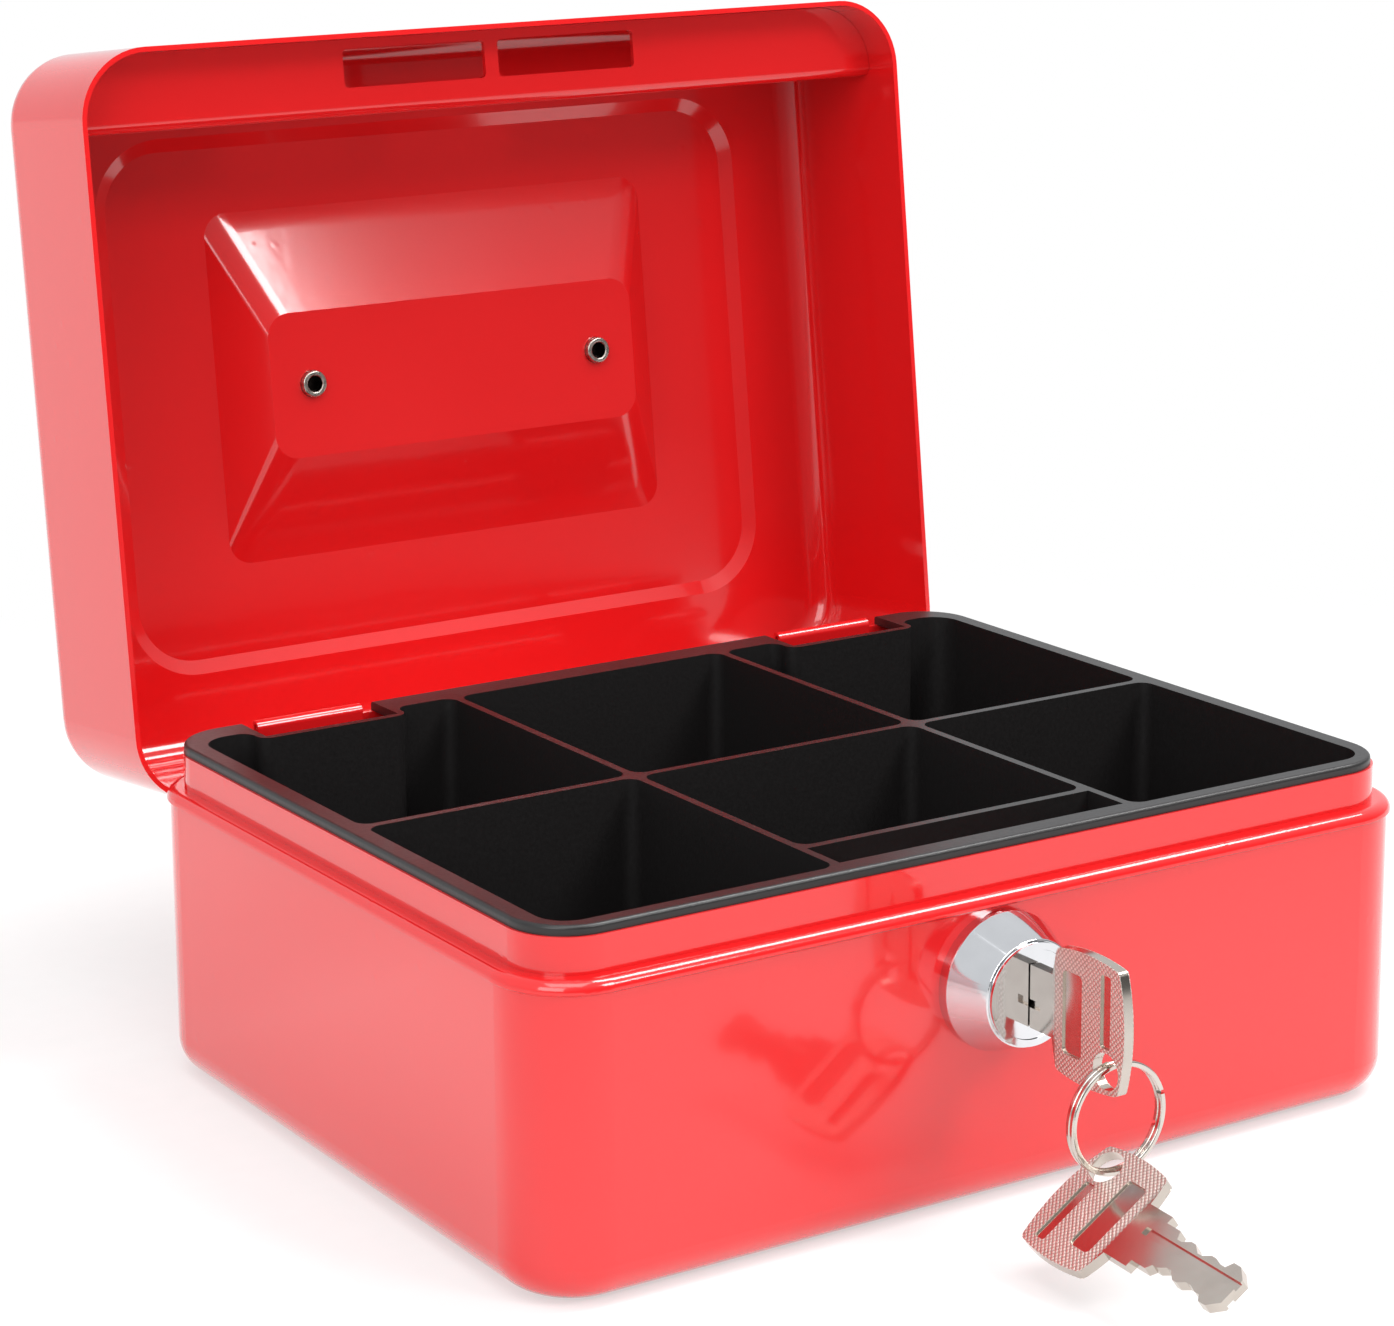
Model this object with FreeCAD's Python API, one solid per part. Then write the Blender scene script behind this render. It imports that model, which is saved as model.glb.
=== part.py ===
import FreeCAD, Part
import math
import os

# Steel cash box with a lift-out coin tray, a hook-cam lock and two keys on a split ring.
# Millimetres. X runs along the width, -Y is the lock side, Z is up, and the origin is the
# middle of the underside. The lid is drawn closed and then turned back to its open stop.

Vec = FreeCAD.Vector

# Steel body
box_width = 152.0
box_depth = 116.8
sheet = 0.8
shoulder_height = 45.5
neck_height = 5.2
neck_inset = 2.2
corner_radius = 11.3
floor_radius = 5.7
shoulder_radius = 1.6
bead_swell = 0.5
bead_height = 2.1
bead_flare = 0.4

# Lid
lid_depth = 31.8
lid_gap = 0.7
lid_open_angle = 96.4
panel_radius = 5.0
field_margin = 14.5
field_radius = 12.0
field_rise = 1.2
field_step = 2.2
recess_width = 84.0
recess_length = 58.0
recess_floor_width = 70.0
recess_floor_length = 24.0
recess_depth = 6.2
recess_middle = -2.0
recess_radius = 4.0

# Strike channel across the front of the lid
strike_height = 1.0
strike_reach = 12.2
strike_lip = 8.0
strike_bend = 1.6
strike_slot_length = 26.0
strike_slot_width = 6.1
strike_slot_front = 1.6
strike_bridge = 2.5
weld_gap = 0.05

# Hinges
hinge_inset = 27.0
hinge_width = 18.4
hinge_sheet = 0.6
hinge_drop = 3.4
knuckle_width = 8.2
knuckle_gap = 0.25
knuckle_wrap = 280.0
pin_clearance = 0.05
leaf_width = 16.0
leaf_height = 12.0
saddle_rise = 0.1
saddle_lip = 3.0
slot_play = 0.4

# Coin tray
tray_rim = 1.4
tray_overhang = -0.4
tray_rear_overhang = 0.2
tray_wall = 1.3
tray_depth = 36.0
tray_floor = 1.4
tray_side_gap = 1.3
tray_front_gap = 0.8
tray_rear_gap = 3.1
tray_corner = 6.0
column_play = 0.65
row_offset = -1.85
pocket_play = 2.3
pocket_depth = 4.7
bay_play = 0.4
compartment_radius = 2.2
compartment_foot = 1.5

# Carry handle
handle_wire = 3.2
handle_pivot_height = 5.0
handle_bracket_spacing = 55.0
handle_arm_spacing = 73.0
handle_length = 19.0
handle_pin_bend = 3.4
handle_bar_bend = 8.0
handle_pin_end = 1.0
bracket_length = 11.0
bracket_width = 8.0
bracket_sheet = 1.0
bracket_clearance = 0.06
rivet_radius = 2.2
rivet_bore = 1.3
rivet_head_radius = 3.1
rivet_head = 1.0
rivet_tail = 1.1
rivet_fit = 0.05

# Lock
lock_x = -2.4
lock_clearance = 0.2
bezel_base_radius = 10.0
bezel_front_radius = 7.6
bezel_height = 7.7
bezel_rim = 1.6
barrel_radius = 7.0
barrel_lip = 0.6
barrel_lip_radius = 7.35
barrel_reach = 10.8
barrel_fit = 0.05
plug_radius = 5.9
plug_fit = 0.05
plug_head_radius = 6.3
plug_head = 1.2
plug_recess = 0.2
washer_radius = 10.0
washer_thickness = 0.8
nut_flats = 19.0
nut_thickness = 3.2
cam_thickness = 1.5
cam_end_play = 0.2
cam_square = 5.0
cam_square_fit = 0.05
cam_hub_radius = 5.8
cam_arm_width = 7.0
cam_crank_start = 11.0
cam_crank_end = 15.0
cam_slot_gap = 0.5
hook_radius = 24.6
hook_clearance = 0.45
hook_lead = 38.0
hook_rest_angle = -28.0
cam_screw_radius = 1.5
cam_screw_fit = 0.05
cam_screw_length = 3.2
cam_screw_head_radius = 3.2
cam_screw_head = 0.9
wafer_count = 5
wafer_pitch = 2.2
wafer_thickness = 1.0
wafer_width = 5.4
wafer_first = 3.2
wafer_play = 0.1

# Keys and split ring
key_thickness = 1.6
bow_length = 15.3
bow_width = 18.6
bow_bulge_end = 1.25
bow_bulge_side = 0.7
bow_corner = 1.0
neck_length = 4.4
neck_width = 9.0
neck_stand_off = 0.2
blade_length = 17.0
blade_width = 6.8
blade_tip = 1.8
blade_tip_width = 4.0
blade_groove = 1.2
blade_groove_depth = 0.45
blade_groove_offset = 1.0
blade_cuts_upper = (0.9, 1.6, 0.6, 1.3, 0.8)
blade_cuts_lower = (1.2, 0.5, 1.4, 0.7, 1.1)
cut_flat = 0.9
keyway_play = 0.15
bow_panel_depth = 0.3
bow_panel_inner_length = 11.8
bow_panel_outer_length = 10.2
bow_panel_outer_y = 2.4
bow_panel_inner_width = 4.0
bow_panel_outer_width = 2.0
bow_panel_inner_x = 2.5
bow_panel_outer_x = 10.4
bow_hole_radius = 2.6
bow_hole_side = 3.5
bow_hole_end = 3.7
ring_radius = 7.6
ring_wire = 0.8
ring_turn = 0.85
ring_overlap = 0.1
ring_edge = 0.25
ring_side_shift = 1.2
ring_lift = 0.7
ring_split = 0.6
spare_ring_shift = -1.1
spare_lift = 0.2
spare_blade_axis = Vec(-0.058, -0.998, -0.017)
spare_width_axis = Vec(-0.816, 0.058, -0.575)

# Places that several pieces share
half_width = box_width / 2
half_depth = box_depth / 2
neck_top = shoulder_height + neck_height
rim_z = shoulder_height + lid_gap
lid_top = rim_z + lid_depth
tray_top = neck_top + tray_rim
neck_rear_inner = half_depth - neck_inset - sheet
lid_front_inner = -half_depth + sheet
knuckle_middle = neck_inset / 2
knuckle_outer = knuckle_middle + hinge_sheet / 2
knuckle_bore = knuckle_middle - hinge_sheet / 2
pin_radius = knuckle_bore - pin_clearance
pin_y = half_depth - sheet - knuckle_outer
pin_z = shoulder_height - hinge_drop
saddle_bend = 0.55 * (sheet + 2 * hinge_sheet)
hinge_middle = half_width - hinge_inset
strike_z = tray_top + strike_height
strike_slot_y = lid_front_inner + strike_slot_front
recess_floor_z = lid_top + field_rise - recess_depth
handle_pivot_z = recess_floor_z + handle_pivot_height
bracket_middle = handle_bracket_spacing / 2
lock_height = shoulder_height - bead_height - lock_clearance - bezel_base_radius
bezel_front = -half_depth - bezel_height
barrel_front = bezel_front - barrel_lip
barrel_rear = -half_depth + barrel_reach
plug_face = barrel_front + plug_recess
plug_rear = barrel_rear + cam_end_play
key_y = plug_face - neck_stand_off - neck_length
hook_front = strike_slot_y + strike_slot_width - cam_slot_gap - cam_thickness
cam_screw_rear = plug_rear + cam_thickness + cam_screw_head
bow_hole = Vec(bow_hole_end - bow_length, bow_hole_side - bow_width / 2, 0)


def soft_wire(points, radii, place):
    """Closed outline through plane points, each corner rounded by its own radius."""
    count = len(points)
    if not isinstance(radii, (list, tuple)):
        radii = [radii] * count
    corners = []
    for i in range(count):
        here = Vec(*points[i], 0)
        back = (Vec(*points[i - 1], 0) - here).normalize()
        ahead = (Vec(*points[(i + 1) % count], 0) - here).normalize()
        if radii[i] == 0:
            corners.append((here, None, here))
            continue
        half = back.getAngle(ahead) / 2
        middle = (back + ahead).normalize()
        reach = radii[i] / math.tan(half)
        belly = here + middle * (radii[i] / math.sin(half) - radii[i])
        corners.append((here + back * reach, belly, here + ahead * reach))
    edges = []
    for i, (start, belly, end) in enumerate(corners):
        before = corners[i - 1][2]
        if (start - before).Length > 1e-7:
            edges.append(Part.makeLine(place(before), place(start)))
        if belly is not None:
            edges.append(Part.Arc(place(start), place(belly), place(end)).toShape())
    return Part.Wire(edges)


def level(z):
    return lambda p: Vec(p.x, p.y, z)


def across(x):
    return lambda p: Vec(x, p.x, p.y)


def facing(y):
    return lambda p: Vec(p.x, y, p.y)


def rounded(x0, x1, y0, y1, radius, z):
    return soft_wire([(x0, y0), (x1, y0), (x1, y1), (x0, y1)], radius, level(z))


def body_outline(inset, z):
    """The plan of the box, drawn in by inset on every side."""
    x = half_width - inset
    y = half_depth - inset
    return rounded(-x, x, -y, y, corner_radius - inset, z)


def sweep(wire, run):
    return Part.Face(wire).extrude(run)


def rise(wire, height):
    return sweep(wire, Vec(0, 0, height))


def block(x0, x1, y0, y1, z0, z1):
    return Part.makeBox(x1 - x0, y1 - y0, z1 - z0, Vec(x0, y0, z0))


def rod(radius, start, end):
    run = end - start
    return Part.makeCylinder(radius, run.Length, start, run)


def lock_rod(radius, y0, y1):
    """A round bar on the lock's own axis."""
    return rod(radius, Vec(0, y0, lock_height), Vec(0, y1, lock_height))


def level_edges(shape, z):
    return [e for e in shape.Edges if all(abs(v.Z - z) < 1e-6 for v in e.Vertexes)]


def at_lock(shape):
    """Move a piece of the lock, drawn on the middle plane, to the lock's own place."""
    moved = shape.copy()
    moved.translate(Vec(lock_x, 0, 0))
    return moved


def lid_opened(shape):
    """Turn a piece of the lid from closed to its open stop about the hinge pins."""
    turned = shape.copy()
    turned.rotate(Vec(0, pin_y, pin_z), Vec(-1, 0, 0), lid_open_angle)
    return turned


# Base shell: a drawn pan with a rolled bead, a shoulder and an inset neck


def base_shell():
    bead_low = shoulder_height - bead_height
    bead_full = bead_low + bead_flare
    lower = rise(body_outline(0, 0), bead_low)
    flare_ends = [body_outline(0, bead_low), body_outline(-bead_swell, bead_full)]
    flare = Part.makeLoft(flare_ends, True, True)
    band = rise(body_outline(-bead_swell, bead_full), shoulder_height - bead_full)
    outer = lower.fuse([flare, band]).removeSplitter()
    outer = outer.makeFillet(floor_radius, level_edges(outer, 0))
    outer = outer.makeFillet(shoulder_radius, level_edges(outer, shoulder_height))
    top = shoulder_height - sheet
    neck = rise(body_outline(neck_inset, top), neck_height + sheet)
    cavity = rise(body_outline(sheet, sheet), top - sheet)
    cavity = cavity.makeFillet(floor_radius - sheet, level_edges(cavity, sheet))
    cavity = cavity.makeFillet(shoulder_radius - sheet, level_edges(cavity, top))
    mouth = rise(body_outline(neck_inset + sheet, top - sheet), neck_height + 3 * sheet)
    shell = outer.fuse(neck).cut(cavity.fuse(mouth))
    lock_hole = lock_rod(barrel_radius + barrel_fit, -half_depth - sheet, -half_depth + 2 * sheet)
    cuts = [at_lock(lock_hole)]
    half = hinge_width / 2 + slot_play
    slot_foot = pin_z - knuckle_outer - 3 * slot_play
    for side in (-hinge_middle, hinge_middle):
        slot = block(
            side - half,
            side + half,
            neck_rear_inner - hinge_sheet - slot_play,
            half_depth + 2 * sheet,
            slot_foot,
            shoulder_height,
        )
        cuts.append(slot)
    return shell.cut(cuts)


# Hinges: a saddle over the rear of the neck, with a leaf on the lid and a pin under both


def rolled_strip(side, top, x0, x1):
    """A strip that runs down to the pin and rolls round it; side is -1 in front, 1 behind."""
    start = 180.0 if side < 0 else 0.0
    turn = -side * knuckle_wrap

    def around(radius, angle):
        a = math.radians(angle)
        return Vec(x0, pin_y + radius * math.cos(a), pin_z + radius * math.sin(a))

    def roll(radius, a, b):
        return Part.Arc(around(radius, a), around(radius, (a + b) / 2), around(radius, b)).toShape()

    end = start + turn
    outer_top = Vec(x0, pin_y + side * knuckle_outer, top)
    inner_top = Vec(x0, pin_y + side * knuckle_bore, top)
    edges = [
        Part.makeLine(outer_top, around(knuckle_outer, start)),
        roll(knuckle_outer, start, end),
        Part.makeLine(around(knuckle_outer, end), around(knuckle_bore, end)),
        roll(knuckle_bore, end, start),
        Part.makeLine(around(knuckle_bore, start), inner_top),
        Part.makeLine(inner_top, outer_top),
    ]
    return sweep(Part.Wire(edges), Vec(x1 - x0, 0, 0))


def hinge_plate(middle):
    half = hinge_width / 2
    gap_half = knuckle_width / 2 + knuckle_gap
    front = neck_rear_inner - hinge_sheet
    lip = neck_rear_inner + sheet
    foot = pin_z + knuckle_outer + 2 * knuckle_gap
    top = tray_top + saddle_rise
    points = [
        (front, foot),
        (front, top),
        (lip + hinge_sheet, top),
        (lip + hinge_sheet, top - saddle_lip),
        (lip, top - saddle_lip),
        (lip, top - hinge_sheet),
        (neck_rear_inner, top - hinge_sheet),
        (neck_rear_inner, foot),
    ]
    bends = [0, saddle_bend, saddle_bend * 0.7, 0, 0, 0, 0, 0]
    saddle = sweep(soft_wire(points, bends, across(middle - half)), Vec(hinge_width, 0, 0))
    rolls = [
        rolled_strip(-1, foot, middle - half, middle - gap_half),
        rolled_strip(-1, foot, middle + gap_half, middle + half),
    ]
    return saddle.fuse(rolls).removeSplitter()


def lid_leaf(middle):
    half = knuckle_width / 2
    foot = rim_z + lid_gap
    strip = rolled_strip(1, foot, middle - half, middle + half)
    inner = pin_y + knuckle_bore
    outer = pin_y + knuckle_outer
    wide = leaf_width / 2
    plate = block(middle - wide, middle + wide, inner, outer, foot, foot + leaf_height)
    upper = level_edges(plate, foot + leaf_height)
    corners = [e for e in upper if abs(e.Vertexes[0].Y - e.Vertexes[-1].Y) > 1e-6]
    plate = plate.makeFillet(2 * hinge_sheet, corners)
    return strip.fuse(plate).removeSplitter()


def hinge_pin(middle):
    half = hinge_width / 2
    return rod(pin_radius, Vec(middle - half, pin_y, pin_z), Vec(middle + half, pin_y, pin_z))


# Lid: a shallow drawn tray with a raised field and a sunk seat for the handle


def field_outline(shrink, z):
    x = half_width - field_margin - shrink
    y = half_depth - field_margin - shrink
    return rounded(-x, x, -y, y, field_radius - shrink, z)


def recess_outline(width, length, z):
    y0 = recess_middle - length / 2
    y1 = recess_middle + length / 2
    return rounded(-width / 2, width / 2, y0, y1, recess_radius, z)


def recess_block(top, foot):
    """The sunk seat between two heights, wider than the pressing above the panel."""
    mouth = recess_outline(recess_width, recess_length, top)
    floor = recess_outline(recess_floor_width, recess_floor_length, foot)
    return Part.makeLoft([mouth, floor], True, True)


def lid_shell():
    outer = rise(body_outline(0, rim_z), lid_depth)
    outer = outer.makeFillet(panel_radius, level_edges(outer, lid_top))
    under = lid_top - sheet
    inner = rise(body_outline(sheet, rim_z - sheet), lid_depth)
    inner = inner.makeFillet(panel_radius - sheet, level_edges(inner, under))
    raised = Part.makeLoft(
        [field_outline(0, lid_top), field_outline(field_step, lid_top + field_rise)], True, True
    )
    hollow = Part.makeLoft(
        [field_outline(0, under), field_outline(field_step, under + field_rise)], True, True
    )
    seat_skin = recess_block(under + field_rise, recess_floor_z - sheet)
    seat = recess_block(lid_top + field_rise, recess_floor_z)
    shell = outer.fuse(raised).cut(inner.fuse(hollow)).fuse(seat_skin).cut(seat)
    holes = []
    for side in (-bracket_middle, bracket_middle):
        low = Vec(side, recess_middle, recess_floor_z - 2 * sheet)
        high = Vec(side, recess_middle, recess_floor_z + sheet)
        holes.append(rod(rivet_radius + rivet_fit, low, high))
    return shell.cut(holes)


def lid_strike_channel():
    rear = lid_front_inner + strike_reach
    front = lid_front_inner - sheet
    top = strike_z + strike_lip
    points = [
        (front, strike_z),
        (rear, strike_z),
        (rear, top),
        (rear - sheet, top),
        (rear - sheet, strike_z + sheet),
        (front, strike_z + sheet),
    ]
    bends = [0, strike_bend, 0, 0, strike_bend - sheet, 0]
    strip = sweep(soft_wire(points, bends, across(-half_width)), Vec(box_width, 0, 0))
    room = rise(body_outline(sheet + weld_gap, strike_z - sheet), strike_lip + 2 * sheet)
    channel = strip.common(room)
    near = strike_bridge / 2
    far = near + strike_slot_length
    y1 = strike_slot_y + strike_slot_width
    slots = []
    for x0, x1 in ((-far, -near), (near, far)):
        wire = rounded(x0, x1, strike_slot_y, y1, sheet, strike_z - sheet)
        slots.append(rise(wire, 3 * sheet))
    return channel.cut(slots)


# Carry handle: a bent wire bail in two folded brackets, each held by one tubular rivet.
# It is drawn hanging plumb from the open lid, a few degrees off the closed lid's seat.


def handle_bracket(middle):
    x0 = middle - bracket_length / 2
    x1 = middle + bracket_length / 2
    ear = handle_pivot_height + bracket_width / 2
    floor = recess_floor_z
    half = bracket_width / 2
    points = [
        (x0, floor),
        (x1, floor),
        (x1, floor + ear),
        (x1 - bracket_sheet, floor + ear),
        (x1 - bracket_sheet, floor + bracket_sheet),
        (x0 + bracket_sheet, floor + bracket_sheet),
        (x0 + bracket_sheet, floor + ear),
        (x0, floor + ear),
    ]
    bend = bracket_sheet
    bends = [bend, bend, 0, 0, bend * 0.4, bend * 0.4, 0, 0]
    folded = sweep(soft_wire(points, bends, facing(recess_middle - half)), Vec(0, bracket_width, 0))
    y0 = recess_middle - half
    y1 = recess_middle + half
    side = [(y0, floor), (y1, floor), (y1, floor + ear), (y0, floor + ear)]
    trim = sweep(soft_wire(side, [0, 0, half * 0.98, half * 0.98], across(x0)), Vec(bracket_length, 0, 0))
    pin = rod(
        handle_wire / 2 + bracket_clearance,
        Vec(x0 - 1, recess_middle, handle_pivot_z),
        Vec(x1 + 1, recess_middle, handle_pivot_z),
    )
    hole = rod(
        rivet_radius + rivet_fit,
        Vec(middle, recess_middle, floor - 1),
        Vec(middle, recess_middle, floor + 2 * bracket_sheet),
    )
    return folded.common(trim).cut([pin, hole])


def handle_rivets():
    rivets = []
    for side in (-bracket_middle, bracket_middle):
        top = recess_floor_z + bracket_sheet
        tail = recess_floor_z - sheet - rivet_tail
        shank = rod(rivet_radius, Vec(side, recess_middle, tail), Vec(side, recess_middle, top))
        crown = rod(
            rivet_head_radius,
            Vec(side, recess_middle, top),
            Vec(side, recess_middle, top + rivet_head),
        )
        crown = crown.makeFillet(rivet_head * 0.7, level_edges(crown, top + rivet_head))
        bore = rod(
            rivet_bore,
            Vec(side, recess_middle, tail - 1),
            Vec(side, recess_middle, top - bracket_sheet),
        )
        rivet = shank.fuse(crown).cut(bore).removeSplitter()
        rivets.append(rivet.makeFillet(rivet_tail * 0.3, level_edges(rivet, tail)))
    return Part.makeCompound(rivets)


def carry_handle():
    x_end = bracket_middle - bracket_length / 2 - handle_pin_end
    x_arm = handle_arm_spacing / 2
    y0 = recess_middle
    y1 = recess_middle + handle_length
    a = handle_pin_bend
    b = handle_bar_bend
    ka = a * (1 - math.sqrt(0.5))
    kb = b * (1 - math.sqrt(0.5))

    def at(x, y):
        return Vec(x, y, handle_pivot_z)

    edges = [
        Part.makeLine(at(x_end, y0), at(x_arm - a, y0)),
        Part.Arc(at(x_arm - a, y0), at(x_arm - ka, y0 + ka), at(x_arm, y0 + a)).toShape(),
        Part.makeLine(at(x_arm, y0 + a), at(x_arm, y1 - b)),
        Part.Arc(at(x_arm, y1 - b), at(x_arm - kb, y1 - kb), at(x_arm - b, y1)).toShape(),
        Part.makeLine(at(x_arm - b, y1), at(b - x_arm, y1)),
        Part.Arc(at(b - x_arm, y1), at(kb - x_arm, y1 - kb), at(-x_arm, y1 - b)).toShape(),
        Part.makeLine(at(-x_arm, y1 - b), at(-x_arm, y0 + a)),
        Part.Arc(at(-x_arm, y0 + a), at(ka - x_arm, y0 + ka), at(a - x_arm, y0)).toShape(),
        Part.makeLine(at(a - x_arm, y0), at(-x_end, y0)),
    ]
    section = Part.Wire(Part.makeCircle(handle_wire / 2, at(x_end, y0), Vec(1, 0, 0)))
    bail = Part.Wire(edges).makePipeShell([section], True, False)
    bail.rotate(at(0, y0), Vec(1, 0, 0), lid_open_angle - 90)
    return bail


# Coin tray: six compartments hung by a rim, open at the front for the lock


def compartment(points, radii):
    foot = tray_top - tray_depth + tray_floor
    hollow = rise(soft_wire(points, radii, level(foot)), tray_depth)
    return hollow.makeFillet(compartment_foot, level_edges(hollow, foot))


def coin_tray():
    foot = tray_top - tray_depth
    x_out = half_width - neck_inset - sheet - tray_side_gap
    y_front = -half_depth + neck_inset + sheet + tray_front_gap
    y_rear = neck_rear_inner - tray_rear_gap
    body = rise(rounded(-x_out, x_out, y_front, y_rear, tray_corner, foot), tray_depth - tray_rim)
    x_rim = half_width - neck_inset + tray_overhang
    y_rim = half_depth - neck_inset
    rim_radius = corner_radius - neck_inset + tray_overhang
    rim_wire = rounded(
        -x_rim, x_rim, -y_rim - tray_overhang, y_rim + tray_rear_overhang, rim_radius, neck_top
    )
    rim = rise(rim_wire, tray_rim)
    rim = rim.makeFillet(tray_rim * 0.4, level_edges(rim, tray_top))
    x_in = x_out - tray_wall
    y_in_front = y_front + tray_wall
    y_in_rear = y_rear - tray_wall
    near = hook_radius + column_play - tray_wall / 2
    far = near + tray_wall
    row_front = row_offset - tray_wall / 2
    row_rear = row_offset + tray_wall / 2
    bay_rear = cam_screw_rear + bay_play
    pocket_y = y_rear - pocket_depth
    pocket_half = hinge_width / 2 + pocket_play
    pocket_near = hinge_middle - pocket_half
    pocket_far = hinge_middle + pocket_half
    step_y = pocket_y - tray_wall
    r = compartment_radius
    step_r = min(r, 0.45 * (pocket_near - tray_wall - far))
    outer_r = tray_corner - tray_wall
    cuts = []
    middle_front = [
        (-near, bay_rear + tray_wall),
        (near, bay_rear + tray_wall),
        (near, row_front),
        (-near, row_front),
    ]
    cuts.append(compartment(middle_front, r))
    middle_rear = [(-near, row_rear), (near, row_rear), (near, y_in_rear), (-near, y_in_rear)]
    cuts.append(compartment(middle_rear, r))
    for side in (-1, 1):
        corner = [
            (side * x_in, y_in_front),
            (side * far, y_in_front),
            (side * far, row_front),
            (side * x_in, row_front),
        ]
        cuts.append(compartment(corner, [outer_r, r, r, r]))
        stepped = [
            (side * x_in, row_rear),
            (side * far, row_rear),
            (side * far, y_in_rear),
            (side * (pocket_near - tray_wall), y_in_rear),
            (side * (pocket_near - tray_wall), step_y),
            (side * (pocket_far + tray_wall), step_y),
            (side * (pocket_far + tray_wall), y_in_rear),
            (side * x_in, y_in_rear),
        ]
        cuts.append(compartment(stepped, [r, r, step_r, step_r, r, r, r, outer_r]))
        x0 = min(side * pocket_near, side * pocket_far)
        pocket = block(
            x0, x0 + 2 * pocket_half, pocket_y, half_depth, foot - tray_floor, tray_top + tray_rim
        )
        cuts.append(pocket)
    cuts.append(block(-near, near, y_front - 1, bay_rear, foot - 1, neck_top))
    slot_front = hook_front - bay_play
    cuts.append(block(-near, near, slot_front, bay_rear, neck_top - 1, tray_top + 1))
    return body.fuse(rim).cut(cuts)


# Lock: a bezel and threaded barrel clamped by a nut, a wafer plug and a cranked hook cam


def lock_bezel():
    rim_end = -half_depth - bezel_rim
    points = [
        (barrel_radius + barrel_fit, -half_depth),
        (bezel_base_radius, -half_depth),
        (bezel_base_radius, rim_end),
        (bezel_front_radius, bezel_front),
        (barrel_radius + barrel_fit, bezel_front),
    ]
    wire = soft_wire(points, [0, 0, 0.5, 0.3, 0], lambda p: Vec(p.x, p.y, lock_height))
    return Part.Face(wire).revolve(Vec(0, 0, lock_height), Vec(0, 1, 0), 360)


def lock_barrel():
    tube = lock_rod(barrel_radius, barrel_front, barrel_rear)
    lip = lock_rod(barrel_lip_radius, barrel_front, bezel_front)
    bore = lock_rod(plug_radius + plug_fit, barrel_front - 1, barrel_rear + 1)
    seat = lock_rod(plug_head_radius + plug_fit, barrel_front - 1, plug_face + plug_head + plug_recess / 2)
    return tube.fuse(lip).cut([bore, seat]).removeSplitter()


def lock_washer():
    y0 = -half_depth + sheet
    ring = lock_rod(washer_radius, y0, y0 + washer_thickness)
    return ring.cut(lock_rod(barrel_radius + barrel_fit, y0 - 1, y0 + washer_thickness + 1))


def lock_nut():
    y0 = -half_depth + sheet + washer_thickness
    corner = nut_flats / 2 / math.cos(math.radians(30))
    points = []
    for i in range(6):
        a = math.radians(60 * i)
        points.append((corner * math.cos(a), lock_height + corner * math.sin(a)))
    hexagon = sweep(soft_wire(points, 0, facing(y0)), Vec(0, nut_thickness, 0))
    turned = Part.makeCone(
        nut_flats / 2 + nut_thickness * 1.8,
        nut_flats / 2,
        nut_thickness * 1.8,
        Vec(0, y0 + nut_thickness * -0.75, lock_height),
        Vec(0, 1, 0),
    )
    bore = lock_rod(barrel_radius + barrel_fit, y0 - 1, y0 + nut_thickness + 1)
    return hexagon.common(turned).cut(bore)


def keyway(y0, y1, play):
    x = key_thickness / 2 + play
    z = blade_width / 2 + play
    return block(-x, x, y0, y1, lock_height - z, lock_height + z)


def wafer_place(i):
    return plug_face + wafer_first + i * wafer_pitch


def lock_plug():
    body = lock_rod(plug_radius, plug_face, plug_rear)
    head = lock_rod(plug_head_radius, plug_face, plug_face + plug_head)
    half = cam_square / 2
    stub_rear = plug_rear + cam_thickness - cam_square_fit
    stub = block(-half, half, plug_rear - 1, stub_rear, lock_height - half, lock_height + half)
    cuts = [keyway(plug_face - 1, key_y + neck_length + blade_length + wafer_play, keyway_play)]
    x = wafer_width / 2 + wafer_play
    z = plug_radius + plug_fit
    for i in range(wafer_count):
        y0 = wafer_place(i) - wafer_play
        y1 = wafer_place(i) + wafer_thickness + wafer_play
        cuts.append(block(-x, x, y0, y1, lock_height - z, lock_height + z))
    cuts.append(lock_rod(cam_screw_radius, stub_rear - cam_screw_length - wafer_play, stub_rear + 1))
    return body.fuse([head, stub]).cut(cuts).removeSplitter()


def lock_wafers():
    wafers = []
    half = wafer_width / 2
    for i in range(wafer_count):
        y0 = wafer_place(i)
        y1 = y0 + wafer_thickness
        slip = block(-half, half, y0, y1, lock_height - plug_radius, lock_height + plug_radius)
        slip = slip.common(lock_rod(plug_radius - wafer_play, y0 - 1, y1 + 1))
        wafers.append(slip.cut(keyway(y0 - 1, y1 + 1, keyway_play + wafer_play)))
    return Part.makeCompound(wafers)


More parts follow.
